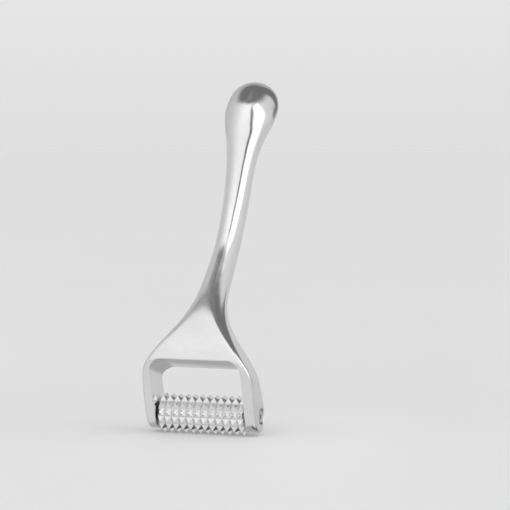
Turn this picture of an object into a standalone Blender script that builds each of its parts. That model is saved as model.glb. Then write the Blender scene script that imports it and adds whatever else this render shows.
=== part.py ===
"""Hand-held derma roller.

A one-piece cast metal handle ends in a fork. A studded metal drum turns between the fork's
cheeks on two shielded miniature ball bearings, which sit on one bolt with a round nut.

The part leans back as it does when the drum stands on a surface and the handle points away
from the user: +X is the drum's axis, towards the right cheek, -Y is the front and +Z is up.
The origin is the middle of the hand grip. Lengths are in metres.
"""
import math

import bmesh
import bpy
from mathutils import Matrix, Vector

MM = 0.001

# --- where the drum's axis lies, seen from the middle of the grip -----------------------------
GRIP_ABOVE_AXLE = 76.0 * MM
GRIP_BEHIND_AXLE = 32.0 * MM

# --- drum -------------------------------------------------------------------------------------
DRUM_LENGTH = 36.1 * MM
DRUM_SHIFT = -0.35 * MM
DRUM_TIP_RADIUS = 7.8 * MM
DRUM_VALLEY_RADIUS = 6.15 * MM
STUD_COLUMNS = 12
STUD_ROWS = 12
STUD_SPACING = 3.083 * MM
FIRST_VALLEY_ANGLE = math.radians(6.0)
DRUM_BORE_RADIUS = 3.6 * MM

# --- ball bearings: 3 mm bore, 8 mm outside, 4 mm wide ----------------------------------------
BEARING_BORE_RADIUS = 1.55 * MM
BEARING_OUTER_RADIUS = 4.0 * MM
BEARING_WIDTH = 4.0 * MM
BEARING_INSET = 0.1 * MM
BALL_RADIUS = 0.75 * MM
BALL_CLEARANCE = 0.05 * MM
BALL_PITCH_RADIUS = 2.75 * MM
BALL_COUNT = 7
RACE_SHOULDER_HEIGHT = 0.6 * MM
SEAT_CLEARANCE = 0.05 * MM
SHIELD_THICKNESS = 0.2 * MM
SHIELD_RADII = (2.3 * MM, 3.6 * MM)
CAGE_RADII = (2.45 * MM, 3.05 * MM)
CAGE_HALF_WIDTH = 1.15 * MM

# --- fork -------------------------------------------------------------------------------------
FORK_INNER_HALF_WIDTH = 19.05 * MM
FORK_OUTER_HALF_WIDTH = 23.2 * MM
WINDOW_TOP_FRONT = (-15.1 * MM, 23.4 * MM)
WINDOW_TOP_BACK = (2.0 * MM, 18.2 * MM)
WINDOW_CORNER_RADIUS = 5.0 * MM
RECESS_RADIUS = 3.25 * MM
RECESS_DEPTH = 1.6 * MM

# --- axle hardware ----------------------------------------------------------------------------
AXLE_RADIUS = 1.5 * MM
AXLE_HOLE_RADIUS = 1.6 * MM
HEAD_RADIUS = 2.85 * MM
HEAD_THICKNESS = 1.25 * MM
HEAD_GAP = 0.05 * MM
SOCKET_ACROSS_FLATS = 2.0 * MM
SOCKET_DEPTH = 0.7 * MM
WASHER_RADIUS = 2.6 * MM
WASHER_GAP = 0.06 * MM
SPACER_RADIUS = 2.1 * MM

# Handle and fork as cross-sections from the bulb down to the ends of the cheeks, in
# millimetres about the drum's axis. Each section runs from a front point to a back point in
# the side view, and has its half width, the radius of its long edges, and how square it is:
# 0 is an ellipse, 1 is a rectangle with rounded edges.
#    front y, front z, back y, back z, half width, edge radius, squareness
BULB_CENTRE = (57.2, 122.0)
BULB_RADIUS = 10.42
BULB_DOME_LENGTH = 15.2
BULB_TIP_SET_BACK = 3.2
BULB_LEAN = math.radians(54.3)
BULB_FIRST_ANGLE = math.radians(6.0)
BULB_CAP_STEPS = 9
SECTIONS = (
    (44.7, 124.5, 60.0, 111.0, 10.15, 5.0, 0.0),
    (40.3, 117.0, 55.3, 106.4, 8.5, 5.0, 0.0),
    (37.6, 108.4, 51.3, 101.2, 6.8, 5.0, 0.0),
    (34.6, 98.5, 47.4, 93.3, 5.65, 5.0, 0.0),
    (31.5, 89.9, 43.5, 84.4, 5.26, 5.0, 0.0),
    (26.7, 79.7, 37.9, 73.5, 4.97, 5.0, 0.0),
    (20.2, 69.0, 30.2, 61.8, 4.95, 5.0, 0.0),
    (12.0, 59.6, 20.8, 51.4, 5.3, 5.0, 0.15),
    (3.0, 49.8, 11.4, 42.4, 6.2, 5.0, 0.35),
    (-4.6, 41.4, 6.2, 34.7, 8.9, 4.2, 0.6),
    (-10.2, 33.8, 5.6, 27.0, 13.2, 3.2, 0.9),
    (-13.1, 29.1, 4.9, 22.9, 16.3, 2.6, 1.0),
    (-14.6, 26.0, 3.5, 20.2, 18.5, 2.4, 1.0),
    (-15.1, 23.0, 2.0, 17.9, 20.5, 2.4, 1.0),
    (-14.5, 19.6, 0.5, 15.8, 22.1, 2.3, 1.0),
    (-13.0, 15.0, 0.4, 12.8, 23.0, 2.2, 1.0),
    (-11.2, 8.7, 2.3, 8.4, 23.2, 1.9, 1.0),
    (-9.8, 3.6, 4.3, 4.1, 23.2, 1.8, 1.0),
    (-8.6, 0.0, 4.7, 0.6, 23.2, 1.8, 1.0),
    (-6.8, -3.3, 4.0, -2.6, 23.2, 1.8, 1.0),
    (-4.0, -5.5, 2.8, -4.9, 23.1, 1.5, 1.0),
    (-1.3, -6.3, 1.2, -6.3, 22.7, 0.6, 1.0),
)
SECTION_STEPS = 3
CORNER_STEPS = 6
WIDE_STEPS = 2
NARROW_STEPS = 1

ROUND_SEGMENTS = 28
RING_SEGMENTS = 24
SMOOTH_ANGLE = math.radians(35.0)


# --- materials --------------------------------------------------------------------------------
def metal(name, colour, roughness):
    """A Principled metal in one colour."""
    material = bpy.data.materials.new(name)
    material.use_nodes = True
    shader = material.node_tree.nodes["Principled BSDF"]
    shader.inputs["Base Color"].default_value = (*colour, 1.0)
    shader.inputs["Metallic"].default_value = 1.0
    shader.inputs["Roughness"].default_value = roughness
    return material


# --- objects ----------------------------------------------------------------------------------
def empty(name, location, parent=None):
    """A named reference point that other objects hang from."""
    point = bpy.data.objects.new(name, None)
    point.empty_display_size = 4.0 * MM
    point.location = location
    point.parent = parent
    bpy.context.scene.collection.objects.link(point)
    return point


def piece(name, mesh, parent, material=None, location=(0.0, 0.0, 0.0)):
    """A named object on a mesh, hung from a reference point."""
    item = bpy.data.objects.new(name, mesh)
    item.parent = parent
    item.location = location
    bpy.context.scene.collection.objects.link(item)
    if material is not None:
        if not mesh.materials:
            mesh.materials.append(material)
        mesh.shade_smooth()
        mesh.set_sharp_from_angle(angle=SMOOTH_ANGLE)
    return item


def cut(target, cutter):
    """Take the cutter's shape out of the target."""
    cutter.hide_render = True
    cutter.display_type = "WIRE"
    modifier = target.modifiers.new(cutter.name, "BOOLEAN")
    modifier.operation = "DIFFERENCE"
    modifier.solver = "EXACT"
    modifier.object = cutter


def finish_mesh(shape, name):
    """Turn a bmesh into a mesh with its faces pointing out."""
    bmesh.ops.recalc_face_normals(shape, faces=shape.faces)
    mesh = bpy.data.meshes.new(name)
    shape.to_mesh(mesh)
    shape.free()
    return mesh


# --- turned shapes about the X axis -----------------------------------------------------------
def turned_point(x, radius, angle):
    return Vector((x, radius * math.cos(angle), radius * math.sin(angle)))


def turned_ring(name, profile, segments):
    """Turn a closed profile of (x, radius) points about X into a ring-shaped solid."""
    shape = bmesh.new()
    rings = []
    for step in range(segments):
        angle = math.tau * step / segments
        rings.append([shape.verts.new(turned_point(x, r, angle)) for x, r in profile])
    for here, ahead in zip(rings, rings[1:] + rings[:1]):
        for index in range(len(profile)):
            after = (index + 1) % len(profile)
            shape.faces.new((here[index], here[after], ahead[after], ahead[index]))
    return finish_mesh(shape, name)


def turned_rod(name, profile, segments):
    """Turn an open profile of (x, radius) points about X into a solid with flat ends."""
    shape = bmesh.new()
    rings = []
    for x, radius in profile:
        ring = [
            shape.verts.new(turned_point(x, radius, math.tau * step / segments))
            for step in range(segments)
        ]
        rings.append(ring)
    for here, ahead in zip(rings, rings[1:]):
        for index in range(segments):
            after = (index + 1) % segments
            shape.faces.new((here[index], here[after], ahead[after], ahead[index]))
    shape.faces.new(rings[0])
    shape.faces.new(rings[-1])
    return finish_mesh(shape, name)


# --- handle and fork --------------------------------------------------------------------------
def bulb_sections():
    """Shrinking sections that close the bulb as a dome, from its tip to its widest place."""
    along = (math.sin(BULB_LEAN), math.cos(BULB_LEAN))
    across = (math.cos(BULB_LEAN), -math.sin(BULB_LEAN))
    sections = []
    turn = 0.5 * math.pi - BULB_FIRST_ANGLE
    for step in range(BULB_CAP_STEPS + 1):
        angle = BULB_FIRST_ANGLE + turn * step / BULB_CAP_STEPS
        height = BULB_DOME_LENGTH * math.cos(angle)
        radius = BULB_RADIUS * math.sin(angle)
        set_back = BULB_TIP_SET_BACK * math.cos(angle) ** 2
        middle = (BULB_CENTRE[0] + along[0] * height + across[0] * set_back,
                  BULB_CENTRE[1] + along[1] * height + across[1] * set_back)
        front = (middle[0] - across[0] * radius, middle[1] - across[1] * radius)
        back = (middle[0] + across[0] * radius, middle[1] + across[1] * radius)
        sections.append((*front, *back, radius, radius, 0.0))
    return sections


def between(before, start, end, after, share):
    """Catmull-Rom value between two sections."""
    return tuple(
        0.5 * (2.0 * b + (c - a) * share
               + (2.0 * a - 5.0 * b + 4.0 * c - d) * share ** 2
               + (3.0 * b - a - 3.0 * c + d) * share ** 3)
        for a, b, c, d in zip(before, start, end, after)
    )


def smooth_sections(steps):
    """The dome's sections as they are, and the rest joined by a smooth curve."""
    dome = bulb_sections()
    keys = dome[-1:] + list(SECTIONS)
    ends = dome[-2:-1] + keys + keys[-1:]
    result = dome[:-1]
    for index in range(len(keys) - 1):
        for step in range(steps):
            result.append(between(*ends[index:index + 4], step / steps))
    result.append(keys[-1])
    widest = FORK_OUTER_HALF_WIDTH / MM
    return [(*section[:4], min(section[4], widest), *section[5:]) for section in result]


def corner_outline(half_width, half_depth, edge, squareness):
    """A quarter of a section, from the middle of its front to the middle of its side."""
    edge = min(edge, half_width, half_depth)
    flat_width = half_width - edge
    flat_depth = half_depth - edge
    box = [(flat_width * step / WIDE_STEPS, -half_depth) for step in range(WIDE_STEPS)]
    for step in range(CORNER_STEPS + 1):
        angle = 0.5 * math.pi * step / CORNER_STEPS
        box.append((flat_width + edge * math.sin(angle), -flat_depth - edge * math.cos(angle)))
    for step in range(1, NARROW_STEPS + 1):
        box.append((half_width, -flat_depth * (1.0 - step / NARROW_STEPS)))
    points = []
    for index, (x, depth) in enumerate(box):
        angle = 0.5 * math.pi * index / (len(box) - 1)
        round_x = half_width * math.sin(angle)
        round_depth = -half_depth * math.cos(angle)
        points.append((round_x + (x - round_x) * squareness,
                       round_depth + (depth - round_depth) * squareness))
    return points


def section_points(section):
    """A section's closed outline as points in space."""
    front_y, front_z, back_y, back_z, half_width, edge, squareness = section
    half_depth = 0.5 * math.hypot(back_y - front_y, back_z - front_z)
    middle = (0.5 * (front_y + back_y), 0.5 * (front_z + back_z))
    across = ((back_y - front_y) / (2.0 * half_depth), (back_z - front_z) / (2.0 * half_depth))
    quarter = corner_outline(half_width, half_depth, edge, squareness)
    right = quarter + [(x, -depth) for x, depth in quarter[-2::-1]]
    outline = right + [(-x, depth) for x, depth in right[-2:0:-1]]
    return [
        Vector((x, middle[0] + across[0] * depth, middle[1] + across[1] * depth)) * MM
        for x, depth in outline
    ]


def handle_mesh():
    """The handle's smooth body, before the fork's window and holes are cut."""
    shape = bmesh.new()
    rings = []
    for section in smooth_sections(SECTION_STEPS):
        rings.append([shape.verts.new(point) for point in section_points(section)])
    count = len(rings[0])
    for here, ahead in zip(rings, rings[1:]):
        for index in range(count):
            after = (index + 1) % count
            shape.faces.new((here[index], here[after], ahead[after], ahead[index]))
    shape.faces.new(rings[0])
    shape.faces.new(rings[-1])
    return finish_mesh(shape, "handle_yoke")


def window_mesh():
    """The space between the cheeks: straight sides, and a top with rounded corners."""
    half = FORK_INNER_HALF_WIDTH
    radius = WINDOW_CORNER_RADIUS
    corner_steps = 6
    reach_down = 45.0 * MM
    reach_out = 30.0 * MM
    outline = [(-half, -reach_down), (half, -reach_down)]
    for step in range(corner_steps + 1):
        angle = 0.5 * math.pi * step / corner_steps
        outline.append((half - radius + radius * math.cos(angle),
                        -radius + radius * math.sin(angle)))
    outline += [(-x, z) for x, z in outline[:1:-1]]
    shape = bmesh.new()
    front = [shape.verts.new((x, -reach_out, z)) for x, z in outline]
    back = [shape.verts.new((x, reach_out, z)) for x, z in outline]
    for index in range(len(outline)):
        after = (index + 1) % len(outline)
        shape.faces.new((front[index], front[after], back[after], back[index]))
    shape.faces.new(front)
    shape.faces.new(back)
    return finish_mesh(shape, "window_cutter")


def make_handle(centre, material):
    """Handle and fork in one casting, with the window, the axle hole and two recesses."""
    handle = piece("handle_yoke", handle_mesh(), centre, material)
    window = piece("window_cutter", window_mesh(), centre)
    run = WINDOW_TOP_BACK[0] - WINDOW_TOP_FRONT[0]
    rise = WINDOW_TOP_BACK[1] - WINDOW_TOP_FRONT[1]
    window.location = (0.0, 0.5 * (WINDOW_TOP_FRONT[0] + WINDOW_TOP_BACK[0]),
                       0.5 * (WINDOW_TOP_FRONT[1] + WINDOW_TOP_BACK[1]))
    window.rotation_euler = (math.atan2(rise, run), 0.0, 0.0)
    cut(handle, window)
    reach = FORK_OUTER_HALF_WIDTH + 3.0 * MM
    hole = turned_rod("axle_hole_cutter", ((-reach, AXLE_HOLE_RADIUS), (reach, AXLE_HOLE_RADIUS)),
                      ROUND_SEGMENTS)
    cut(handle, piece("axle_hole_cutter", hole, centre))
    floor = FORK_OUTER_HALF_WIDTH - RECESS_DEPTH
    for side, name in ((1.0, "right_recess_cutter"), (-1.0, "left_recess_cutter")):
        mesh = turned_rod(name, ((side * floor, RECESS_RADIUS), (side * reach, RECESS_RADIUS)),
                          ROUND_SEGMENTS)
        cut(handle, piece(name, mesh, centre))


# --- drum -------------------------------------------------------------------------------------
def drum_mesh():
    """A sleeve covered in four-sided pyramid studs, with a bearing seat in each end.

    The studs are evenly spaced, and the ends of the drum cut the outer slopes of the last ones
    short.
    """
    shape = bmesh.new()
    half = 0.5 * DRUM_LENGTH
    seat = half - BEARING_INSET - BEARING_WIDTH - SEAT_CLEARANCE
    seat_radius = BEARING_OUTER_RADIUS + SEAT_CLEARANCE
    pitch = math.tau / STUD_ROWS
    first = -0.5 * STUD_COLUMNS * STUD_SPACING
    valleys = []
    for step in range(STUD_COLUMNS + 1):
        x = max(-half, min(half, first + STUD_SPACING * step))
        valleys.append([
            shape.verts.new(turned_point(x, DRUM_VALLEY_RADIUS, FIRST_VALLEY_ANGLE + pitch * row))
            for row in range(STUD_ROWS)
        ])
    for step in range(STUD_COLUMNS):
        x = first + STUD_SPACING * (step + 0.5)
        for row in range(STUD_ROWS):
            after = (row + 1) % STUD_ROWS
            angle = FIRST_VALLEY_ANGLE + pitch * (row + 0.5)
            tip = shape.verts.new(turned_point(x, DRUM_TIP_RADIUS, angle))
            base = (valleys[step][row], valleys[step][after],
                    valleys[step + 1][after], valleys[step + 1][row])
            for corner in range(4):
                shape.faces.new((base[corner], base[(corner + 1) % 4], tip))
    bore = []
    for x, radius in ((-half, seat_radius), (-seat, seat_radius), (-seat, DRUM_BORE_RADIUS),
                      (seat, DRUM_BORE_RADIUS), (seat, seat_radius), (half, seat_radius)):
        bore.append([
            shape.verts.new(turned_point(x, radius, FIRST_VALLEY_ANGLE + 0.5 * pitch * step))
            for step in range(2 * STUD_ROWS)
        ])
    for here, ahead in zip(bore, bore[1:]):
        for index in range(2 * STUD_ROWS):
            after = (index + 1) % (2 * STUD_ROWS)
            shape.faces.new((here[index], here[after], ahead[after], ahead[index]))
    for rim, mouth in ((valleys[0], bore[0]), (valleys[-1], bore[-1])):
        for row in range(STUD_ROWS):
            after = (row + 1) % STUD_ROWS
            near, middle = mouth[2 * row], mouth[2 * row + 1]
            far = mouth[(2 * row + 2) % (2 * STUD_ROWS)]
            shape.faces.new((rim[row], rim[after], middle))
            shape.faces.new((rim[row], middle, near))
            shape.faces.new((rim[after], far, middle))
    return finish_mesh(shape, "roller_drum")


# --- bearings ---------------------------------------------------------------------------------
def race_groove(outward):
    """The ball groove's points from one shoulder to the other, as (x, radius)."""
    reach = BALL_RADIUS + BALL_CLEARANCE
    half_angle = math.acos(RACE_SHOULDER_HEIGHT / reach)
    steps = 4
    points = []
    for step in range(steps + 1):
        angle = half_angle * (2.0 * step / steps - 1.0)
        points.append((reach * math.sin(angle),
                       BALL_PITCH_RADIUS + outward * reach * math.cos(angle)))
    return points


def inner_ring_mesh():
    half = 0.5 * BEARING_WIDTH
    shoulder = BALL_PITCH_RADIUS - RACE_SHOULDER_HEIGHT
    profile = [(half, shoulder), (half, BEARING_BORE_RADIUS), (-half, BEARING_BORE_RADIUS),
               (-half, shoulder)]
    return turned_ring("bearing_inner_ring", profile + race_groove(-1.0), RING_SEGMENTS)


def outer_ring_mesh():
    """The outer ring, with a step at each end that holds a shield."""
    half = 0.5 * BEARING_WIDTH
    shoulder = BALL_PITCH_RADIUS + RACE_SHOULDER_HEIGHT
    step_radius = SHIELD_RADII[1] + SEAT_CLEARANCE
    step_x = half - 2.0 * SHIELD_THICKNESS
    profile = [(step_x, shoulder), (step_x, step_radius), (half, step_radius),
               (half, BEARING_OUTER_RADIUS), (-half, BEARING_OUTER_RADIUS),
               (-half, step_radius), (-step_x, step_radius), (-step_x, shoulder)]
    return turned_ring("bearing_outer_ring", profile + race_groove(1.0), RING_SEGMENTS)


def shield_mesh():
    half = 0.5 * SHIELD_THICKNESS
    inner, outer = SHIELD_RADII
    profile = ((-half, inner), (half, inner), (half, outer), (-half, outer))
    return turned_ring("bearing_shield", profile, RING_SEGMENTS)


def cage_mesh():
    """Two thin hoops joined by a bar between each pair of neighbouring balls."""
    inner, outer = CAGE_RADII
    pocket = math.asin((BALL_RADIUS + BALL_CLEARANCE) / inner)
    pocket_half_width = BALL_RADIUS + BALL_CLEARANCE
    pitch = math.tau / BALL_COUNT
    bar_steps, pocket_steps = 1, 4
    angles = []
    for ball in range(BALL_COUNT):
        start = ball * pitch - pocket
        angles += [(start + 2.0 * pocket * step / pocket_steps, True)
                   for step in range(pocket_steps)]
        bar = pitch - 2.0 * pocket
        angles += [(start + 2.0 * pocket + bar * step / bar_steps, False)
                   for step in range(bar_steps)]
    stations = (-CAGE_HALF_WIDTH, -pocket_half_width, pocket_half_width, CAGE_HALF_WIDTH)
    shape = bmesh.new()
    grid = {}
    for a, (angle, _) in enumerate(angles):
        for s, x in enumerate(stations):
            for r, radius in enumerate((inner, outer)):
                grid[a, s, r] = shape.verts.new(turned_point(x, radius, angle))
    count = len(angles)
    for a in range(count):
        b = (a + 1) % count
        open_here = angles[a][1]
        for s in range(3):
            if s == 1 and open_here:
                continue
            for r in (0, 1):
                shape.faces.new((grid[a, s, r], grid[a, s + 1, r],
                                 grid[b, s + 1, r], grid[b, s, r]))
        for s in (0, 3):
            shape.faces.new((grid[a, s, 0], grid[a, s, 1], grid[b, s, 1], grid[b, s, 0]))
        if open_here:
            for s in (1, 2):
                shape.faces.new((grid[a, s, 0], grid[a, s, 1], grid[b, s, 1], grid[b, s, 0]))
        if open_here != angles[a - 1][1]:
            shape.faces.new((grid[a, 1, 0], grid[a, 1, 1], grid[a, 2, 1], grid[a, 2, 0]))
    return finish_mesh(shape, "bearing_cage")


def ball_mesh():
    shape = bmesh.new()
    bmesh.ops.create_icosphere(shape, subdivisions=2, radius=BALL_RADIUS)
    return finish_mesh(shape, "bearing_ball")


def make_bearings(centre, drum_axis, materials):
    """Two shielded ball bearings, the right one and the left one."""
    meshes = {
        "inner_ring": inner_ring_mesh(),
        "outer_ring": outer_ring_mesh(),
        "shield": shield_mesh(),
        "cage": cage_mesh(),
        "ball": ball_mesh(),
    }
    offset = 0.5 * DRUM_LENGTH - BEARING_INSET - 0.5 * BEARING_WIDTH
    still = empty("bearing_middle", (DRUM_SHIFT, 0.0, 0.0), centre)
    shield_x = 0.5 * BEARING_WIDTH - 1.25 * SHIELD_THICKNESS
    for side, hand in ((1.0, "right"), (-1.0, "left")):
        prefix = "bearing_" + hand
        x = side * offset
        piece(prefix + "_inner_ring", meshes["inner_ring"], still, materials["race"],
              (x, 0.0, 0.0))
        piece(prefix + "_outer_ring", meshes["outer_ring"], drum_axis, materials["race"],
              (x, 0.0, 0.0))
        piece(prefix + "_outer_shield", meshes["shield"], drum_axis, materials["shield"],
              (x + side * shield_x, 0.0, 0.0))
        piece(prefix + "_inner_shield", meshes["shield"], drum_axis, materials["shield"],
              (x - side * shield_x, 0.0, 0.0))
        cage_axis = empty(prefix + "_cage_axis", (x, 0.0, 0.0), still)
        piece(prefix + "_cage", meshes["cage"], cage_axis, materials["cage"])
        for number in range(BALL_COUNT):
            angle = math.tau * number / BALL_COUNT
            piece("{}_ball_{}".format(prefix, number + 1), meshes["ball"], cage_axis,
                  materials["ball"], turned_point(0.0, BALL_PITCH_RADIUS, angle))


# --- axle hardware ----------------------------------------------------------------------------
def head_profile(start, direction):
    """A low round head with a softened outer edge, as (x, radius) from its seat outwards."""
    soft = 0.35 * MM
    return [
        (start, HEAD_RADIUS),
        (start + direction * (HEAD_THICKNESS - soft), HEAD_RADIUS),
        (start + direction * (HEAD_THICKNESS - 0.3 * soft), HEAD_RADIUS - 0.3 * soft),
        (start + direction * HEAD_THICKNESS, HEAD_RADIUS - soft),
    ]


def make_axle(centre, material):
    """Bolt through the cheeks and bearings, its nut, two washers and the spacer tube."""
    floor = FORK_OUTER_HALF_WIDTH - RECESS_DEPTH
    seat = floor + HEAD_GAP
    end = seat + HEAD_THICKNESS - 0.25 * MM
    profile = [(-end, AXLE_RADIUS), (seat, AXLE_RADIUS)] + head_profile(seat, 1.0)
    bolt = piece("axle_bolt", turned_rod("axle_bolt", profile, ROUND_SEGMENTS), centre, material)
    socket_radius = SOCKET_ACROSS_FLATS / math.sqrt(3.0)
    top = seat + HEAD_THICKNESS
    socket = turned_rod("bolt_socket_cutter", ((top - SOCKET_DEPTH, socket_radius),
                                               (top + SOCKET_DEPTH, socket_radius)), 6)
    cut(bolt, piece("bolt_socket_cutter", socket, centre))

    nut_profile = [(-seat, BEARING_BORE_RADIUS)] + head_profile(-seat, -1.0)
    nut_profile.append((-top, BEARING_BORE_RADIUS))
    piece("axle_nut", turned_ring("axle_nut", nut_profile, ROUND_SEGMENTS), centre, material)

    outer = FORK_INNER_HALF_WIDTH - WASHER_GAP
    for side, hand in ((1.0, "right"), (-1.0, "left")):
        bearing_end = 0.5 * DRUM_LENGTH - BEARING_INSET + side * DRUM_SHIFT
        inner = bearing_end + WASHER_GAP
        name = "thrust_washer_" + hand
        washer = turned_ring(name, (
            (side * inner, AXLE_HOLE_RADIUS), (side * outer, AXLE_HOLE_RADIUS),
            (side * outer, WASHER_RADIUS), (side * inner, WASHER_RADIUS)), ROUND_SEGMENTS)
        piece(name, washer, centre, material)

    reach = 0.5 * DRUM_LENGTH - BEARING_INSET - BEARING_WIDTH - WASHER_GAP
    spacer = turned_ring("spacer_tube", (
        (-reach, AXLE_HOLE_RADIUS), (reach, AXLE_HOLE_RADIUS),
        (reach, SPACER_RADIUS), (-reach, SPACER_RADIUS)), ROUND_SEGMENTS)
    piece("spacer_tube", spacer, centre, material, (DRUM_SHIFT, 0.0, 0.0))


def main():
    for item in list(bpy.data.objects):
        bpy.data.objects.remove(item, do_unlink=True)

    satin = metal("satin_alloy", (0.78, 0.78, 0.79), 0.32)
    drum_metal = metal("drum_alloy", (0.80, 0.80, 0.81), 0.22)
    steel = metal("polished_steel", (0.70, 0.70, 0.72), 0.16)
    bearing = {
        "race": metal("bearing_steel", (0.66, 0.66, 0.68), 0.2),
        "shield": metal("shield_steel", (0.60, 0.60, 0.62), 0.35),
        "cage": metal("cage_brass", (0.72, 0.56, 0.30), 0.35),
        "ball": metal("ball_steel", (0.75, 0.75, 0.77), 0.08),
    }

    centre = empty("axle_centre", (0.0, -GRIP_BEHIND_AXLE, -GRIP_ABOVE_AXLE))
    drum_axis = empty("drum_axis", (DRUM_SHIFT, 0.0, 0.0), centre)
    make_handle(centre, satin)
    piece("roller_drum", drum_mesh(), drum_axis, drum_metal)
    make_bearings(centre, drum_axis, bearing)
    make_axle(centre, steel)


main()
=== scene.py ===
"""Looks of the hand-held derma roller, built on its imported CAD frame.

The casting, the studded drum, the bolt and the nut are rebuilt finer than in the CAD and stand
for their CAD nodes. The bearings, washers and spacer keep their CAD shape and get materials.
"""
import math

import bmesh
import bpy
from mathutils import Matrix, Vector
from mathutils.bvhtree import BVHTree


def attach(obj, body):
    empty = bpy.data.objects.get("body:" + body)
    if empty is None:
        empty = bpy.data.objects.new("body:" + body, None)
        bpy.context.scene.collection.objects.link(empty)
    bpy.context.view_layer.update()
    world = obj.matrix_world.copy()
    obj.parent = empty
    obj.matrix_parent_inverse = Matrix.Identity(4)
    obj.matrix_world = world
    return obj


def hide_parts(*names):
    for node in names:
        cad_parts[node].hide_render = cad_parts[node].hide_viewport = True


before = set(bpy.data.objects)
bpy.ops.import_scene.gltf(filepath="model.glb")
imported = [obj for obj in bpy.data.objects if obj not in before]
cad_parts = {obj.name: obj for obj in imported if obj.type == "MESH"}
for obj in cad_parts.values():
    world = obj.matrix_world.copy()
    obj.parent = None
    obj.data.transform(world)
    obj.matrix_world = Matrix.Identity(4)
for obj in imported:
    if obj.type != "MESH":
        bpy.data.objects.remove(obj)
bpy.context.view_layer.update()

MM = 0.001
SCENE = bpy.context.scene

# --- where the drum's axis lies in the frame, and the floor under the drum --------------------
AXLE = Vector((0.0, -32.0, -76.0)) * MM
LOWEST_TIP = 7.71 * MM
FLOOR_Z = AXLE.z - LOWEST_TIP

# --- casting, in millimetres about the drum's axis --------------------------------------------
BULB_CENTRE = (57.2, 122.0)
BULB_RADIUS = 10.42
BULB_DOME_LENGTH = 15.2
BULB_TIP_SET_BACK = 3.2
BULB_LEAN = math.radians(54.3)
BULB_FIRST_ANGLE = math.radians(1.5)
BULB_CAP_STEPS = 22
# front y, front z, back y, back z, half width, edge radius, squareness
SECTIONS = (
    (44.7, 124.5, 60.0, 111.0, 10.15, 5.0, 0.0),
    (40.3, 117.0, 55.3, 106.4, 8.5, 5.0, 0.0),
    (37.6, 108.4, 51.3, 101.2, 6.8, 5.0, 0.0),
    (34.6, 98.5, 47.4, 93.3, 5.65, 5.0, 0.0),
    (31.5, 89.9, 43.5, 84.4, 5.26, 5.0, 0.0),
    (26.7, 79.7, 37.9, 73.5, 4.97, 5.0, 0.0),
    (20.2, 69.0, 30.2, 61.8, 4.95, 5.0, 0.0),
    (12.0, 59.6, 20.8, 51.4, 5.3, 5.0, 0.15),
    (3.0, 49.8, 11.4, 42.4, 6.2, 5.0, 0.35),
    (-4.6, 41.4, 6.2, 34.7, 8.9, 4.2, 0.6),
    (-10.2, 33.8, 5.6, 27.0, 13.2, 3.2, 0.9),
    (-13.1, 29.1, 4.9, 22.9, 16.3, 2.6, 1.0),
    (-14.6, 26.0, 3.5, 20.2, 18.5, 2.4, 1.0),
    (-15.1, 23.0, 2.0, 17.9, 20.5, 2.4, 1.0),
    (-14.5, 19.6, 0.5, 15.8, 22.1, 2.3, 1.0),
    (-13.0, 15.0, 0.4, 12.8, 23.0, 2.2, 1.0),
    (-11.2, 8.7, 2.3, 8.4, 23.2, 1.9, 1.0),
    (-9.8, 3.6, 4.3, 4.1, 23.2, 1.8, 1.0),
    (-8.6, 0.0, 4.7, 0.6, 23.2, 1.8, 1.0),
    (-6.8, -3.3, 4.0, -2.6, 23.2, 1.8, 1.0),
    (-4.0, -5.5, 2.8, -4.9, 23.1, 1.5, 1.0),
    (-1.3, -6.3, 1.2, -6.3, 22.7, 0.6, 1.0),
)
SECTION_STEPS = 7
CORNER_STEPS = 12
WIDE_STEPS = 6
NARROW_STEPS = 3
FORK_OUTER = 23.2
FORK_INNER = 19.05
WINDOW_TOP_FRONT = (-15.1, 23.4)
WINDOW_TOP_BACK = (2.0, 18.2)
WINDOW_CORNER = 5.0
WINDOW_CORNER_STEPS = 12
WINDOW_TOP_STEPS = 24
WINDOW_LIP = 0.22
WINDOW_LIP_ANGLES = (0.0, 12.0, 24.0, 36.0, 48.0, 60.0, 70.0)
# heights in the window's plane: the open ends, and where the sides begin to be sampled
WINDOW_OPEN_END = -45.0
WINDOW_SIDE_START = -34.0
WINDOW_SIDE_STEPS = 29
WINDOW_LOWEST_LIP = -30.0
# the lip fades in as the surface turns square to the cut, by how much of its normal lies along it
LIP_FROM = 0.45
LIP_OVER = 0.4
LIP_FLARE = (1.65, -0.30)
CUTTER_PAST = 4.25
CUTTER_RAY_START = 40.0
RECESS_RADIUS = 3.25
RECESS_DEPTH = 1.6
RECESS_LIP = 0.3
RECESS_LIP_ANGLES = (0.0, 15.0, 30.0, 45.0, 60.0, 75.0)
AXLE_HOLE_RADIUS = 1.6
CUT_MARGIN = 3.0
HOLE_SEGMENTS = 64
ROUND_SEGMENTS = 96
CAST_SHARP_ANGLE = math.radians(32.0)
# the finer bulb is pulled in by this much above this height, to stay in the coarser one's box
PULL_IN = (0.045, 0.02, 0.045, 0.02)
PULL_IN_FROM = 100.0
PULL_IN_OVER = 20.0

# --- drum -------------------------------------------------------------------------------------
DRUM_LENGTH = 36.1
DRUM_SHIFT = -0.35
DRUM_TIP = 7.8
TIP_SHOULDER_DROP = 0.09
TIP_APEX_DROP = 0.005
DRUM_VALLEY = 6.15
STUD_COLUMNS = 12
STUD_ROWS = 12
STUD_SPACING = 3.083
FIRST_VALLEY_ANGLE = math.radians(6.0)
VALLEY_FLAT = 0.06
TIP_FLAT = 0.11
DRUM_BORE = 3.6
BEARING_SEAT = 4.05
BEARING_SEAT_DEPTH = 4.15
SEAT_CHAMFER = 0.25
DRUM_SHARP_DEGREES = 12.0

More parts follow.
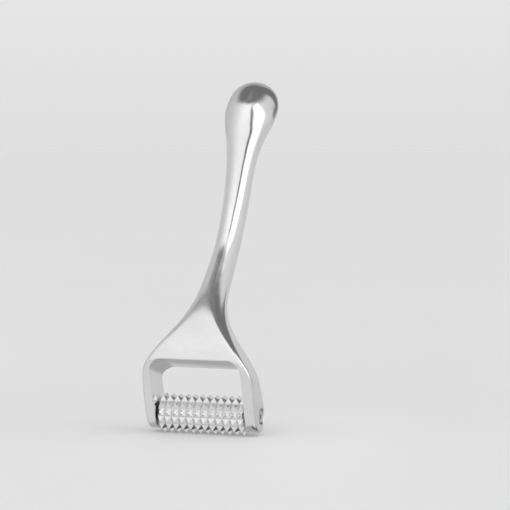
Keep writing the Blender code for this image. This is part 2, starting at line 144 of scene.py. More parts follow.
# --- axle hardware ----------------------------------------------------------------------------
AXLE_RADIUS = 1.5
BEARING_BORE = 1.55
HEAD_RADIUS = 2.85
HEAD_THICKNESS = 1.25
HEAD_GAP = 0.05
HEAD_RIM = 0.42
HEAD_RIM_STEPS = 8
HEAD_CROWN = 0.12
HEAD_FOOT = (0.06, 0.05)
SOCKET_ACROSS_FLATS = 2.0
SOCKET_MOUTH_SHARE = 0.98
# the socket's rings: depth below the head's top, and share of its full width
SOCKET_RINGS = ((0.06, 1.0), (0.7, 0.97), (0.8, 0.1))
CROWN_DROP = 0.03
BOLT_CROWN = (1.9, 1.5)
NUT_CROWN = 2.2
NUT_CHAMFER = (0.2, 0.25)
SHANK_SHORT_OF_TOP = 0.25
SHANK_CHAMFER = 0.2
HARDWARE_SHARP_DEGREES = 40.0

# --- materials: noise scales per metre, and the painted shade colour that valleys darken towards ---
CLOUD_SCALE = 90.0
SMEAR_SCALE = 320.0
PIT_SCALE = 9000.0
WAVE_SCALE = 260.0
GROOVE_SCALE = 16000.0
BRUSH_SCALE = 7000.0
BRUSH_STRETCH = (1.0, 0.03, 0.03)
# painted shade: the dark grey that the drum's valleys are darkened towards
PAINTED_SHADE_COLOUR = (0.16, 0.16, 0.165)

# --- studio, in metres ------------------------------------------------------------------------
VIEW_TURN = math.radians(18.8)
VIEW_DIP = math.radians(3.80)
CAMERA_PLACE = (0.28454, -0.80764, 0.04262)
CAMERA_LENS = 146.82
CAMERA_SENSOR = 36.0
CAMERA_REACH = (0.01, 40.0)
STAGE_RADIUS = 7.0
STAGE_HEIGHT = 6.0
STAGE_SEGMENTS = 96
FLOOR_TONES = ((0.83, 0.83, 0.83), (0.85, 0.85, 0.85))
SURROUND_LOW, SURROUND_HIGH, SURROUND_FADE_TOP = 0.745, 0.80, 0.7
# the card's outline across and up, its distance behind the handle and its brightness
CARD_OUTLINE = ((-0.045, FLOOR_Z), (0.072, FLOOR_Z), (0.072, -0.045), (0.057, -0.045),
                (0.057, 0.036), (-0.045, 0.036))
CARD_DEPTH = 0.0315
CARD_GLOW = 0.59
SUN_ENERGY = 1.4
SUN_ANGLE = math.radians(130.0)
SUN_TILT = (math.radians(20.0), math.radians(14.0), 0.0)
# how bright the parts of the room are
BACK_WALL, LEFT_WALL = 0.52, 0.71
FRONT_BOX_LEFT, FRONT_BOX_RIGHT, FRONT_BOX_UPWARDS = 0.72, 1.12, 0.12
RIGHT_WALL_NEAR, RIGHT_WALL_FAR = 0.88, 0.74
DARK_GAP, BRIGHT_STRIP = 0.13, 1.9
CEILING = (0.20, 0.30)
DARK_ROOM = 0.20
GROUND = (0.82, 0.66)
GROUND_BEHIND, GROUND_LOW_RIGHT, GROUND_UNDER = 0.48, 0.12, 0.10
# degrees of azimuth that the strip's and the room's edges lean by for each degree of elevation
STRIP_SLANT, ROOM_SLANT = 0.4, 0.5


# --- node helpers -----------------------------------------------------------------------------
class Graph:
    """Short names for making shader nodes."""

    def __init__(self, tree):
        self.tree = tree
        tree.nodes.clear()

    def node(self, kind, inputs=None, **settings):
        made = self.tree.nodes.new(kind)
        for name, value in settings.items():
            setattr(made, name, value)
        for name, value in (inputs or {}).items():
            self.feed(made.inputs[name], value)
        return made

    def feed(self, socket, value):
        if isinstance(value, bpy.types.NodeSocket):
            self.tree.links.new(value, socket)
        else:
            socket.default_value = value

    def maths(self, operation, first, second=0.0):
        made = self.node("ShaderNodeMath", operation=operation)
        self.feed(made.inputs[0], first)
        self.feed(made.inputs[1], second)
        return made.outputs[0]

    def step(self, value, low, high, start=0.0, end=1.0):
        """A smooth step from start to end as the value goes from low to high."""
        made = self.node("ShaderNodeMapRange", interpolation_type="SMOOTHSTEP")
        for name, item in (("Value", value), ("From Min", low), ("From Max", high),
                           ("To Min", start), ("To Max", end)):
            self.feed(made.inputs[name], item)
        return made.outputs[0]

    def band(self, value, low, high, soft):
        """1 between low and high and 0 outside, with soft edges."""
        rise = self.step(value, low - soft, low + soft)
        fall = self.step(value, high - soft, high + soft, 1.0, 0.0)
        return self.maths("MULTIPLY", rise, fall)

    def blend(self, share, first, second):
        """First where share is 0 and second where it is 1."""
        made = self.node("ShaderNodeMix", data_type="FLOAT")
        self.feed(made.inputs[0], share)
        self.feed(made.inputs[2], first)
        self.feed(made.inputs[3], second)
        return made.outputs[0]

    def tint(self, share, first, second):
        """The same for two colours, of which the first may be another node's."""
        made = self.node("ShaderNodeMix", data_type="RGBA")
        self.feed(made.inputs[0], share)
        self.feed(made.inputs[6], first if isinstance(first, bpy.types.NodeSocket)
                  else (*first, 1.0))
        self.feed(made.inputs[7], (*second, 1.0))
        return made.outputs[2]

    def noise(self, vector, scale, detail, rough=0.55):
        made = self.node("ShaderNodeTexNoise", {"Vector": vector, "Scale": scale,
                                                "Detail": detail, "Roughness": rough})
        return made.outputs[0]

    def place(self):
        """Where a point lies in the object's own space."""
        return self.node("ShaderNodeTexCoord").outputs["Object"]


# --- materials --------------------------------------------------------------------------------
def new_material(name):
    """A material and the helper that fills its empty node tree."""
    material = bpy.data.materials.new(name)
    material.use_nodes = True
    return material, Graph(material.node_tree)


def metal(name, dark, light, roughness, spread, grain, wave=0.0, rings=0.0, brush=0.0,
          painted_valley_shade=None):
    """A metal with cloudy tone, uneven polish, fine grain and optional brushing or rings.

    wave makes the surface slightly uneven, rings cuts turning marks round the drum's axis and
    brush draws fine lines up the object. painted_valley_shade=(low, high, share) paints shade
    into the colour: it darkens by that share what lies below that distance from the drum's
    axis, as in the valleys between the drum's studs.
    """
    material, g = new_material(name)
    where = g.place()
    cloud = g.noise(where, CLOUD_SCALE, 4.0)
    smear = g.noise(where, SMEAR_SCALE, 5.0, 0.6)
    pits = g.noise(where, PIT_SCALE, 2.0, 0.5)
    tone = g.step(g.blend(0.4, cloud, smear), 0.3, 0.7)
    colour = g.tint(tone, dark, light)

    part = g.node("ShaderNodeSeparateXYZ", {"Vector": where})
    off_y = g.maths("SUBTRACT", part.outputs[1], AXLE.y)
    off_z = g.maths("SUBTRACT", part.outputs[2], AXLE.z)
    radius = g.maths("SQRT", g.maths("ADD", g.maths("MULTIPLY", off_y, off_y),
                                     g.maths("MULTIPLY", off_z, off_z)))
    gloss = g.blend(g.step(smear, 0.25, 0.75), roughness - spread, roughness + spread)

    height = g.maths("MULTIPLY", pits, grain)
    if wave:
        swell = g.noise(where, WAVE_SCALE, 1.0)
        height = g.maths("ADD", height, g.maths("MULTIPLY", swell, wave))
    if rings:
        outwards = g.node("ShaderNodeCombineXYZ", {"X": radius}).outputs[0]
        groove = g.noise(outwards, GROOVE_SCALE, 2.0)
        height = g.maths("ADD", height, g.maths("MULTIPLY", groove, rings))
        gloss = g.maths("ADD", gloss, g.step(groove, 0.35, 0.7, 0.0, 0.06))
    if brush:
        stretched = g.node("ShaderNodeMapping", {"Vector": where, "Scale": BRUSH_STRETCH})
        lines = g.noise(stretched.outputs[0], BRUSH_SCALE, 3.0, 0.6)
        height = g.maths("ADD", height, g.maths("MULTIPLY", lines, brush))
        gloss = g.maths("ADD", gloss, g.step(lines, 0.4, 0.75, 0.0, 0.05))
    # painted shade in the valleys between the drum's studs, which are also made a little rougher
    if painted_valley_shade:
        low, high, share = painted_valley_shade
        valley_shade_mask = g.step(radius, low, high, 1.0, 0.0)
        colour = g.tint(g.maths("MULTIPLY", valley_shade_mask, share), colour, PAINTED_SHADE_COLOUR)
        gloss = g.maths("ADD", gloss, g.maths("MULTIPLY", valley_shade_mask, 0.15))

    bump = g.node("ShaderNodeBump", {"Height": height, "Strength": 1.0, "Distance": 0.001})
    shader = g.node("ShaderNodeBsdfPrincipled", {
        "Base Color": colour, "Metallic": 1.0, "Roughness": gloss,
        "Normal": bump.outputs[0]})
    g.node("ShaderNodeOutputMaterial", {"Surface": shader.outputs[0]})
    return material


# --- casting ----------------------------------------------------------------------------------
def bulb_sections():
    """Shrinking sections that close the bulb as a dome, from its tip to its widest place."""
    along = (math.sin(BULB_LEAN), math.cos(BULB_LEAN))
    across = (math.cos(BULB_LEAN), -math.sin(BULB_LEAN))
    sections = []
    turn = 0.5 * math.pi - BULB_FIRST_ANGLE
    for step in range(BULB_CAP_STEPS + 1):
        angle = BULB_FIRST_ANGLE + turn * step / BULB_CAP_STEPS
        height = BULB_DOME_LENGTH * math.cos(angle)
        radius = BULB_RADIUS * math.sin(angle)
        set_back = BULB_TIP_SET_BACK * math.cos(angle) ** 2
        middle = (BULB_CENTRE[0] + along[0] * height + across[0] * set_back,
                  BULB_CENTRE[1] + along[1] * height + across[1] * set_back)
        front = (middle[0] - across[0] * radius, middle[1] - across[1] * radius)
        back = (middle[0] + across[0] * radius, middle[1] + across[1] * radius)
        sections.append((*front, *back, radius, radius, 0.0))
    return sections


def between(before, start, end, after, share):
    """Catmull-Rom value between two sections."""
    return tuple(
        0.5 * (2.0 * b + (c - a) * share
               + (2.0 * a - 5.0 * b + 4.0 * c - d) * share ** 2
               + (3.0 * b - a - 3.0 * c + d) * share ** 3)
        for a, b, c, d in zip(before, start, end, after)
    )


def smooth_sections(steps):
    """The dome's sections as they are, and the rest joined by a smooth curve."""
    dome = bulb_sections()
    keys = dome[-1:] + list(SECTIONS)
    # front and back carry on from the dome, and the other measures run straight
    lead = tuple(2.0 * a - b for a, b in zip(keys[0], keys[1]))
    ends = [(*dome[-6][:4], *lead[4:])] + keys + keys[-1:]
    result = dome[:-1]
    for index in range(len(keys) - 1):
        for step in range(steps):
            result.append(between(*ends[index:index + 4], step / steps))
    result.append(keys[-1])
    return [(*(value - pull for value, pull in zip(section[:4], inward(section))),
             min(section[4], FORK_OUTER), *section[5:]) for section in result]


def inward(section):
    """How far a section's points move in, so the finer bulb stays in the coarser one's box."""
    share = min(1.0, max(0.0, section[3] - PULL_IN_FROM) / PULL_IN_OVER)
    return tuple(pull * share for pull in PULL_IN)


def corner_outline(half_width, half_depth, edge, squareness):
    """A quarter of a section, from the middle of its front to the middle of its side."""
    edge = min(edge, half_width, half_depth)
    flat_width = half_width - edge
    flat_depth = half_depth - edge
    box = [(flat_width * step / WIDE_STEPS, -half_depth) for step in range(WIDE_STEPS)]
    for step in range(CORNER_STEPS + 1):
        angle = 0.5 * math.pi * step / CORNER_STEPS
        box.append((flat_width + edge * math.sin(angle), -flat_depth - edge * math.cos(angle)))
    for step in range(1, NARROW_STEPS + 1):
        box.append((half_width, -flat_depth * (1.0 - step / NARROW_STEPS)))
    points = []
    for index, (x, depth) in enumerate(box):
        angle = 0.5 * math.pi * index / (len(box) - 1)
        round_x = half_width * math.sin(angle)
        round_depth = -half_depth * math.cos(angle)
        points.append((round_x + (x - round_x) * squareness,
                       round_depth + (depth - round_depth) * squareness))
    return points


def section_points(section):
    """A section's closed outline as points in space, about the drum's axis."""
    front_y, front_z, back_y, back_z, half_width, edge, squareness = section
    half_depth = 0.5 * math.hypot(back_y - front_y, back_z - front_z)
    middle = (0.5 * (front_y + back_y), 0.5 * (front_z + back_z))
    across = ((back_y - front_y) / (2.0 * half_depth), (back_z - front_z) / (2.0 * half_depth))
    quarter = corner_outline(half_width, half_depth, edge, squareness)
    right = quarter + [(x, -depth) for x, depth in quarter[-2::-1]]
    outline = right + [(-x, depth) for x, depth in right[-2:0:-1]]
    return [Vector((x, middle[0] + across[0] * depth, middle[1] + across[1] * depth))
            for x, depth in outline]


def loft(rings, capped=True):
    """Join rings of points into one closed skin."""
    shape = bmesh.new()
    rows = [[shape.verts.new(point) for point in ring] for ring in rings]
    count = len(rows[0])
    for here, ahead in zip(rows, rows[1:]):
        for index in range(count):
            after = (index + 1) % count
            shape.faces.new((here[index], here[after], ahead[after], ahead[index]))
    if capped:
        shape.faces.new(rows[0])
        shape.faces.new(rows[-1])
    bmesh.ops.recalc_face_normals(shape, faces=shape.faces)
    return shape


def turned_point(x, radius, angle):
    """A point at an angle round X, counted from the back upwards."""
    return Vector((x, radius * math.cos(angle), radius * math.sin(angle)))


def turned(profile, segments, closed=False):
    """Turn (x, radius) points about X, as a solid rod or as a closed ring."""
    angles = [math.tau * step / segments for step in range(segments)]
    rings = [[turned_point(x, radius, angle) for angle in angles] for x, radius in profile]
    if closed:
        rings.append(rings[0])
    shape = loft(rings, capped=not closed)
    bmesh.ops.remove_doubles(shape, verts=shape.verts, dist=1e-5)
    bmesh.ops.recalc_face_normals(shape, faces=shape.faces)
    return shape


def new_object(name, shape):
    """An object in metres in the frame, from a shape in millimetres about the drum's axis."""
    shape.transform(Matrix.Translation(AXLE) @ Matrix.Scale(MM, 4))
    return linked(name, shape)


def linked(name, shape):
    """An object in the scene made of a shape, which is used up."""
    mesh = bpy.data.meshes.new(name)
    shape.to_mesh(mesh)
    shape.free()
    item = bpy.data.objects.new(name, mesh)
    SCENE.collection.objects.link(item)
    return item


def window_outline(offset):
    """The window's outline in its own plane, grown outwards by offset."""
    half = FORK_INNER + offset
    radius = WINDOW_CORNER + offset
    side = [WINDOW_OPEN_END] + [WINDOW_SIDE_START + step for step in range(WINDOW_SIDE_STEPS)]
    outline = [(half, z) for z in side]
    for step in range(WINDOW_CORNER_STEPS + 1):
        angle = 0.5 * math.pi * step / WINDOW_CORNER_STEPS
        outline.append((half - radius + radius * math.cos(angle),
                        offset - radius + radius * math.sin(angle)))
    last_right = len(outline) - 1
    top = half - radius
    outline += [(top * (1.0 - 2.0 * step / WINDOW_TOP_STEPS), offset)
                for step in range(1, WINDOW_TOP_STEPS)]
    return outline + [(-x, z) for x, z in outline[last_right::-1]]


def window_rims(tree, side):
    """Depths at which the window's outline meets the casting's front or back, and lip widths."""
    depths, lips = [], []
    for x, z in window_outline(0.0):
        depth, lip = None, 0.0
        if z >= WINDOW_LOWEST_LIP:
            hit, normal, _, _ = tree.ray_cast(Vector((x, side * CUTTER_RAY_START, z)),
                                              Vector((0.0, -side, 0.0)))
            if hit is not None:
                depth = hit.y
                lip = WINDOW_LIP * min(1.0, max(0.0, (abs(normal.y) - LIP_FROM) / LIP_OVER))
        depths.append(depth)
        lips.append(lip)
    known = [depth for depth in depths if depth is not None]
    middle = len(depths) // 2
    for index, depth in enumerate(depths):
        if depth is None:
            depths[index] = known[0] if index < middle else known[-1]
    return depths, lips


def window_rings(tree, side):
    """The cutter's rings, from where the lip starts to well outside the casting."""
    depths, lips = window_rims(tree, side)
    steps = [(1.0 - math.cos(t), 1.0 - math.sin(t), 0.0)
             for t in map(math.radians, WINDOW_LIP_ANGLES)]
    steps += [(*LIP_FLARE, 0.0), (LIP_FLARE[0], 0.0, CUTTER_PAST)]
    rings = []
    for grow, sink, past in steps:
        ring = []
        for index, (depth, lip) in enumerate(zip(depths, lips)):
            x, z = window_outline(grow * lip)[index]
            ring.append(Vector((x, depth - side * (sink * lip - past), z)))
        rings.append(ring)
    return rings


def window_cutter(body):
    """The space between the cheeks, flared by a small round lip at its front and back."""
    run = WINDOW_TOP_BACK[0] - WINDOW_TOP_FRONT[0]
    rise = WINDOW_TOP_BACK[1] - WINDOW_TOP_FRONT[1]
    place = Matrix.Translation((0.0, 0.5 * (WINDOW_TOP_FRONT[0] + WINDOW_TOP_BACK[0]),
                                0.5 * (WINDOW_TOP_FRONT[1] + WINDOW_TOP_BACK[1])))
    place = place @ Matrix.Rotation(math.atan2(rise, run), 4, "X")
    local = body.copy()
    local.transform(place.inverted())
    tree = BVHTree.FromBMesh(local)
    local.free()
    shape = loft(window_rings(tree, -1.0)[::-1] + window_rings(tree, 1.0))
    shape.transform(place)
    return shape


def build_casting():
    """Handle, bulb and fork in one casting."""
    body = loft([section_points(s) for s in smooth_sections(SECTION_STEPS)])
    window = window_cutter(body)
    tree = BVHTree.FromBMesh(body)
    body.verts.ensure_lookup_table()
    body.normal_update()
    faces = [[v.index for v in f.verts] for f in body.faces]
    corner_normals = [v.normal.copy() for v in body.verts]
    points = [v.co.copy() for v in body.verts]
    casting = new_object("yoke_casting", body)
    reach = FORK_OUTER + CUT_MARGIN
    floor = FORK_OUTER - RECESS_DEPTH
    hole = turned(((-reach, AXLE_HOLE_RADIUS), (reach, AXLE_HOLE_RADIUS)), HOLE_SEGMENTS)
    cutters = [new_object("cut_window", window), new_object("cut_axle", hole)]
    for side in (1.0, -1.0):
        profile = [(side * floor, RECESS_RADIUS)]
        for t in map(math.radians, RECESS_LIP_ANGLES):
            profile.append((side * (FORK_OUTER - RECESS_LIP * (1.0 - math.sin(t))),
                            RECESS_RADIUS + RECESS_LIP * (1.0 - math.cos(t))))
        profile.append((side * reach, RECESS_RADIUS + 2.0 * RECESS_LIP))
        cutters.append(new_object("cut_recess", turned(profile, ROUND_SEGMENTS)))
    for cutter in cutters:
        modifier = casting.modifiers.new("cut", "BOOLEAN")
        modifier.operation = "DIFFERENCE"
        modifier.solver = "EXACT"
        modifier.object = cutter
    graph = bpy.context.evaluated_depsgraph_get()
    mesh = bpy.data.meshes.new_from_object(casting.evaluated_get(graph))
    casting.modifiers.clear()
    casting.data = mesh
    for cutter in cutters:
        bpy.data.objects.remove(cutter, do_unlink=True)
    mesh.name = "yoke_casting"
    mesh.shade_smooth()
    mesh.set_sharp_from_angle(angle=CAST_SHARP_ANGLE)
    smooth_from(mesh, tree, faces, points, corner_normals)
    return casting


def smooth_from(mesh, tree, faces, points, corner_normals):
    """Give faces left from the uncut casting its smooth normals, so cuts don't shade badly."""
    near_enough, same_way, smallest_gap = 0.012, 0.97, 1e-4
    own = [Vector(n.vector) for n in mesh.corner_normals]
    for polygon in mesh.polygons:
        hit, normal, _, distance = tree.find_nearest((polygon.center - AXLE) / MM)
        if hit is None or distance > near_enough or abs(normal.dot(polygon.normal)) < same_way:
            continue
        for loop in polygon.loop_indices:
            vertex = (mesh.vertices[mesh.loops[loop].vertex_index].co - AXLE) / MM
            index = tree.find_nearest(vertex)[2]
            total = Vector()
            for corner in faces[index]:
                gap = (points[corner] - vertex).length + smallest_gap
                total += corner_normals[corner] / (gap * gap)
            if total.length > 0.0:
                own[loop] = total.normalized()
    mesh.normals_split_custom_set(own)


# --- drum -------------------------------------------------------------------------------------
def build_drum():
    """A sleeve covered in four-sided studs with blunted tips, and a bearing seat in each end."""
    shape = bmesh.new()
    half = 0.5 * DRUM_LENGTH
    first = -0.5 * STUD_COLUMNS * STUD_SPACING
    pitch = math.tau / STUD_ROWS
    flat_angle = VALLEY_FLAT / DRUM_VALLEY
    tip_angle = TIP_FLAT / DRUM_TIP
    shoulder = DRUM_TIP - TIP_SHOULDER_DROP

    def vert(x, radius, angle):
        return shape.verts.new(turned_point(x + DRUM_SHIFT, radius, angle))

    lines = [-half]
    for step in range(1, STUD_COLUMNS):
        x = first + STUD_SPACING * step
        lines += [x - VALLEY_FLAT, x + VALLEY_FLAT]
    lines.append(half)
    angles = []
    for row in range(STUD_ROWS):
        valley = FIRST_VALLEY_ANGLE + pitch * row
        angles += [valley - flat_angle, valley + flat_angle]
    grid = [[vert(x, DRUM_VALLEY, angle) for angle in angles] for x in lines]
    count = len(angles)
    for a in range(len(lines) - 1):
        for b in range(count):
            after = (b + 1) % count
            base = (grid[a][b], grid[a][after], grid[a + 1][after], grid[a + 1][b])
            # a narrow valley floor runs between any two studs
            if a % 2 == 1 or b % 2 == 0:
                shape.faces.new(base)
                continue
            x = first + STUD_SPACING * (a // 2 + 0.5)
            angle = FIRST_VALLEY_ANGLE + pitch * (b // 2 + 0.5)
            top = [vert(x + along * TIP_FLAT, shoulder, angle + around * tip_angle)
                   for along, around in ((-1, -1), (-1, 1), (1, 1), (1, -1))]
            apex = vert(x, DRUM_TIP - TIP_APEX_DROP, angle)
            for corner in range(4):
                ahead = (corner + 1) % 4
                shape.faces.new((base[corner], base[ahead], top[ahead], top[corner]))
                shape.faces.new((top[corner], top[ahead], apex))
    seat = half - BEARING_SEAT_DEPTH
    mouth = BEARING_SEAT + SEAT_CHAMFER
    bore = []
    for x, radius in ((-half, mouth), (-half + SEAT_CHAMFER, BEARING_SEAT),
                      (-seat, BEARING_SEAT), (-seat, DRUM_BORE), (seat, DRUM_BORE),
                      (seat, BEARING_SEAT), (half - SEAT_CHAMFER, BEARING_SEAT), (half, mouth)):
        bore.append([vert(x, radius, angle) for angle in angles])
    strips = list(zip(bore, bore[1:])) + [(grid[0], bore[0]), (grid[-1], bore[-1])]
    for here, ahead in strips:
        for b in range(count):
            after = (b + 1) % count
            shape.faces.new((here[b], here[after], ahead[after], ahead[b]))
    bmesh.ops.recalc_face_normals(shape, faces=shape.faces)
    return new_object("studded_drum", shape)


# --- axle hardware ----------------------------------------------------------------------------
def head_profile(seat, direction):
    """A low domed head with a rounded rim, as (x, radius) from its seat outwards."""
    foot, undercut = HEAD_FOOT
    points = [(seat, HEAD_RADIUS - undercut), (seat + direction * foot, HEAD_RADIUS)]
    for step in range(HEAD_RIM_STEPS + 1):
        angle = 0.5 * math.pi * step / HEAD_RIM_STEPS
        height = HEAD_THICKNESS - HEAD_CROWN - HEAD_RIM + HEAD_RIM * math.sin(angle)
        points.append((seat + direction * height,
                       HEAD_RADIUS - HEAD_RIM + HEAD_RIM * math.cos(angle)))
    return points


def build_bolt():
    """The axle bolt: a plain shank through the drum and a head with a six-sided socket."""
    seat = FORK_OUTER - RECESS_DEPTH + HEAD_GAP
    top = seat + HEAD_THICKNESS
    end = top - SHANK_SHORT_OF_TOP
    profile = [(-end, AXLE_RADIUS - SHANK_CHAMFER), (-end + SHANK_CHAMFER, AXLE_RADIUS),
               (seat, AXLE_RADIUS)]
    profile += head_profile(seat, 1.0)
    socket = SOCKET_ACROSS_FLATS / math.sqrt(3.0)
    profile += [(top - CROWN_DROP, BOLT_CROWN[0]), (top, BOLT_CROWN[1]),
                (top, socket * SOCKET_MOUTH_SHARE)]
    angles = [math.tau * step / ROUND_SEGMENTS for step in range(ROUND_SEGMENTS)]
    rings = [[turned_point(x, radius, angle) for angle in angles] for x, radius in profile]
    for depth, share in SOCKET_RINGS:
        apothem = 0.5 * SOCKET_ACROSS_FLATS * share
        ring = []
        for angle in angles:
            turn = (angle % (math.pi / 3.0)) - math.pi / 6.0
            ring.append(turned_point(top - depth, apothem / math.cos(turn), angle))
        rings.append(ring)
    return new_object("socket_bolt", loft(rings))


def build_nut():
    """A round nut with the same outside as the bolt's head."""
    seat = FORK_OUTER - RECESS_DEPTH + HEAD_GAP
    top = seat + HEAD_THICKNESS
    profile = [(-seat, BEARING_BORE)] + head_profile(-seat, -1.0)
    profile += [(-top + CROWN_DROP, NUT_CROWN), (-top, BEARING_BORE + NUT_CHAMFER[1]),
                (-top + NUT_CHAMFER[0], BEARING_BORE)]
    return new_object("round_nut", turned(profile, ROUND_SEGMENTS, closed=True))


def smooth(item, degrees):
    """Shade an object smooth, with sharp edges where faces meet at more than the angle."""
    item.data.shade_smooth()
    item.data.set_sharp_from_angle(angle=math.radians(degrees))


def give(item, material):
    """Make a material the object's only one."""
    item.data.materials.clear()
    item.data.materials.append(material)


# --- build the object -------------------------------------------------------------------------
CAST = metal("satin_cast_metal", (0.91, 0.91, 0.914), (0.97, 0.97, 0.972), 0.13, 0.03,
             grain=0.0025, wave=0.004, brush=0.0006)
# the drum's valleys between the studs get painted shade
STUDS = metal("studded_nickel", (0.90, 0.90, 0.905), (0.96, 0.96, 0.962), 0.10, 0.04,
              grain=0.003, painted_valley_shade=(5.9 * MM, 6.5 * MM, 0.25))
TURNED = metal("turned_steel", (0.62, 0.62, 0.64), (0.74, 0.74, 0.755), 0.12, 0.04,
               grain=0.002, rings=0.003)
RACE = metal("ground_bearing_steel", (0.58, 0.58, 0.60), (0.70, 0.70, 0.715), 0.18, 0.05,
             grain=0.002, rings=0.004)
SHIELD = metal("pressed_shield_steel", (0.50, 0.50, 0.52), (0.62, 0.62, 0.63), 0.30, 0.08,
               grain=0.006, wave=0.003)
CAGE = metal("pressed_brass", (0.62, 0.44, 0.20), (0.76, 0.58, 0.30), 0.30, 0.08,
             grain=0.006, brush=0.002)
BALL = metal("mirror_ball_steel", (0.68, 0.68, 0.70), (0.78, 0.78, 0.79), 0.06, 0.02,
             grain=0.001)

casting = build_casting()
give(casting, CAST)
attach(casting, "handle")
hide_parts("handle_yoke")

drum = build_drum()
smooth(drum, DRUM_SHARP_DEGREES)
give(drum, STUDS)
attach(drum, "drum")
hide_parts("roller_drum")

bolt = build_bolt()
smooth(bolt, HARDWARE_SHARP_DEGREES)
give(bolt, TURNED)
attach(bolt, "handle")
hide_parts("axle_bolt")

nut = build_nut()
smooth(nut, HARDWARE_SHARP_DEGREES)
give(nut, TURNED)
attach(nut, "handle")
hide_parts("axle_nut")

for name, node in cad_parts.items():
    if "_ball_" in name:
        give(node, BALL)
    elif name.endswith("_cage"):
        give(node, CAGE)
    elif name.endswith("_shield"):
        give(node, SHIELD)
    elif name.endswith("_ring"):
        give(node, RACE)
    elif name.startswith("thrust_washer") or name == "spacer_tube":
        give(node, TURNED)


# --- studio -----------------------------------------------------------------------------------
def studio_light():
    """Soft boxes as a pattern of light by direction.

    Azimuth is counted in degrees from the front towards the right, elevation upwards, and each
    level is how bright that part of the room is.
    """
    world = bpy.data.worlds.new("soft_boxes")
    SCENE.world = world
    world.use_nodes = True
    g = Graph(world.node_tree)
    way = g.node("ShaderNodeSeparateXYZ",
                 {"Vector": g.node("ShaderNodeTexCoord").outputs["Generated"]})
    x, y, z = way.outputs
    azimuth = g.maths("DEGREES", g.maths("ARCTAN2", x, g.maths("MULTIPLY", y, -1.0)))
    elevation = g.maths("DEGREES", g.maths("ARCSINE", z))
    turned_away = g.maths("ABSOLUTE", azimuth)
    slant = g.maths("ADD", azimuth, g.maths("MULTIPLY", elevation, STRIP_SLANT))

    # left and back walls, the front soft box, brighter upwards and to the right, the right wall
    light = g.step(azimuth, -180.0, -80.0, BACK_WALL, LEFT_WALL)
    front = g.maths("ADD", g.step(azimuth, -95.0, 10.0, FRONT_BOX_LEFT, FRONT_BOX_RIGHT),
                    g.step(elevation, 25.0, 60.0, 0.0, FRONT_BOX_UPWARDS))
    light = g.blend(g.step(azimuth, -100.0, -80.0), light, front)
    right = g.step(azimuth, 90.0, 160.0, RIGHT_WALL_NEAR, RIGHT_WALL_FAR)
    light = g.blend(g.step(slant, 60.0, 72.0), light, right)
    # a dark gap and a bright strip, both leaning to the left
    upright = g.maths("MULTIPLY", g.step(elevation, -14.0, -6.0),
                      g.step(elevation, 54.0, 62.0, 1.0, 0.0))
    gap = g.maths("MULTIPLY", g.band(slant, 63.5, 74.5, 2.0), upright)
    light = g.blend(gap, light, DARK_GAP)
    strip = g.maths("MULTIPLY", g.band(slant, 78.5, 111.0, 2.5), upright)
    light = g.blend(strip, light, BRIGHT_STRIP)
    # dark ceiling, whose edge is lower and softer at the sides and back
    edge = g.maths("MINIMUM", g.step(azimuth, -130.0, -30.0, 44.0, 73.0),
                   g.step(azimuth, 40.0, 150.0, 73.0, 40.0))
    over = g.maths("SUBTRACT", elevation, edge)
    soft = g.step(turned_away, 40.0, 120.0, 4.0, 11.0)
    ceiling = g.step(elevation, 76.0, 90.0, *CEILING)
    light = g.blend(g.step(over, g.maths("MULTIPLY", soft, -1.0), soft), light, ceiling)
    # dark room behind on the right, which the card hides from most of the object
    lean = g.maths("ADD", azimuth, g.maths("MULTIPLY", elevation, ROOM_SLANT))
    room = g.maths("MULTIPLY", g.step(lean, 148.0, 158.0),
                   g.step(azimuth, 171.0, 180.0, 1.0, 0.0))
    light = g.blend(g.maths("MULTIPLY", room, g.step(elevation, -8.0, -1.0)), light, DARK_ROOM)
    # floor, darker behind the object, dark low on the right and dark right under it
    ground = g.blend(g.step(turned_away, 60.0, 150.0), *GROUND)
    behind = g.maths("MULTIPLY", g.step(turned_away, 90.0, 150.0),
                     g.step(elevation, -28.0, -14.0, 1.0, 0.0))
    ground = g.blend(behind, ground, GROUND_BEHIND)
    low_right = g.maths("MULTIPLY", g.band(azimuth, 115.0, 150.0, 8.0),
                        g.step(elevation, -41.0, -34.0, 1.0, 0.0))
    ground = g.blend(low_right, ground, GROUND_LOW_RIGHT)
    ground = g.blend(g.step(elevation, -85.0, -60.0, 1.0, 0.0), ground, GROUND_UNDER)
    light = g.blend(g.step(elevation, -10.0, -2.0, 1.0, 0.0), light, ground)
    back = g.node("ShaderNodeBackground", {"Strength": light})
    g.node("ShaderNodeOutputWorld", {"Surface": back.outputs[0]})


def hide_from(item, *rays):
    """Make an object unseen by the named kinds of ray."""
    for ray in rays:
        setattr(item, "visible_" + ray, False)


def glow(g, strength):
    """End a material's graph in a white glow of that strength."""
    lit = g.node("ShaderNodeEmission", {"Color": (1.0, 1.0, 1.0, 1.0), "Strength": strength})
    g.node("ShaderNodeOutputMaterial", {"Surface": lit.outputs[0]})


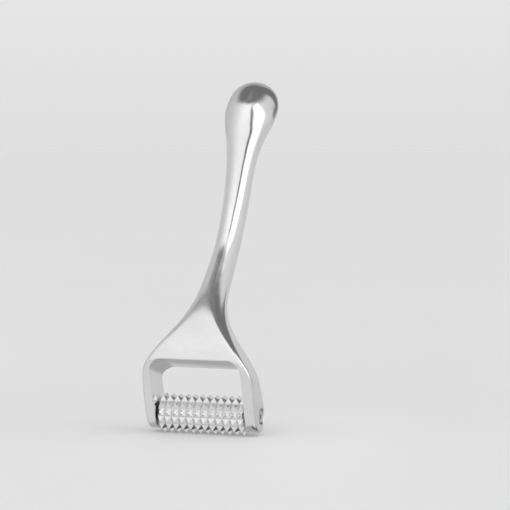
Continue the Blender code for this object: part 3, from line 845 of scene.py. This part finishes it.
def floor_and_backdrop():
    """A wide pale floor, and a pale surround that only the camera sees."""
    shape = bmesh.new()
    bmesh.ops.create_circle(shape, cap_ends=True, segments=STAGE_SEGMENTS, radius=STAGE_RADIUS)
    shape.transform(Matrix.Translation((0.0, 0.0, FLOOR_Z)))
    floor = linked("floor", shape)
    hide_from(floor, "glossy")
    material, g = new_material("pale_floor")
    tone = g.tint(g.noise(g.place(), 3.0, 2.0), *FLOOR_TONES)
    shader = g.node("ShaderNodeBsdfPrincipled", {"Base Color": tone, "Roughness": 0.6})
    g.node("ShaderNodeOutputMaterial", {"Surface": shader.outputs[0]})
    give(floor, material)

    angles = [math.tau * step / STAGE_SEGMENTS for step in range(STAGE_SEGMENTS)]
    rings = [[Vector((STAGE_RADIUS * math.cos(angle), STAGE_RADIUS * math.sin(angle), height))
              for angle in angles] for height in (FLOOR_Z, STAGE_HEIGHT)]
    surround = linked("surround", loft(rings, capped=False))
    hide_from(surround, "glossy", "diffuse", "shadow", "transmission")
    material, g = new_material("pale_surround")
    height = g.node("ShaderNodeSeparateXYZ", {"Vector": g.place()}).outputs[2]
    glow(g, g.step(height, FLOOR_Z, SURROUND_FADE_TOP, SURROUND_LOW, SURROUND_HIGH))
    give(surround, material)


def reflector_card():
    """A white card close behind the handle, seen only in the metal."""
    across = Vector((math.cos(VIEW_TURN), math.sin(VIEW_TURN), 0.0))
    depth = Vector((-math.sin(VIEW_TURN), math.cos(VIEW_TURN), 0.0)) * CARD_DEPTH
    shape = bmesh.new()
    shape.faces.new([shape.verts.new(depth + across * side + Vector((0.0, 0.0, height)))
                     for side, height in CARD_OUTLINE])
    card = linked("reflector_card", shape)
    hide_from(card, "camera", "diffuse", "shadow", "transmission")
    material, g = new_material("white_card")
    glow(g, CARD_GLOW)
    give(card, material)


def soft_sun():
    """A very soft light from the upper right that gives the floor its tone and a shadow."""
    lamp = bpy.data.lights.new("soft_sun", "SUN")
    lamp.energy = SUN_ENERGY
    lamp.angle = SUN_ANGLE
    sun = bpy.data.objects.new("soft_sun", lamp)
    sun.rotation_euler = SUN_TILT
    hide_from(sun, "glossy")
    SCENE.collection.objects.link(sun)


def camera():
    """A long lens 0.86 m from the handle, 18.8 degrees right of the front and 3.8 degrees down."""
    lens = bpy.data.cameras.new("camera")
    lens.lens = CAMERA_LENS
    lens.sensor_width = CAMERA_SENSOR
    lens.clip_start, lens.clip_end = CAMERA_REACH
    item = bpy.data.objects.new("camera", lens)
    item.location = CAMERA_PLACE
    look = Vector((-math.sin(VIEW_TURN) * math.cos(VIEW_DIP),
                   math.cos(VIEW_TURN) * math.cos(VIEW_DIP), -math.sin(VIEW_DIP)))
    item.rotation_mode = "QUATERNION"
    item.rotation_quaternion = look.to_track_quat("-Z", "Y")
    SCENE.collection.objects.link(item)
    SCENE.camera = item


studio_light()
floor_and_backdrop()
reflector_card()
soft_sun()
camera()
SCENE.view_settings.view_transform = "Standard"
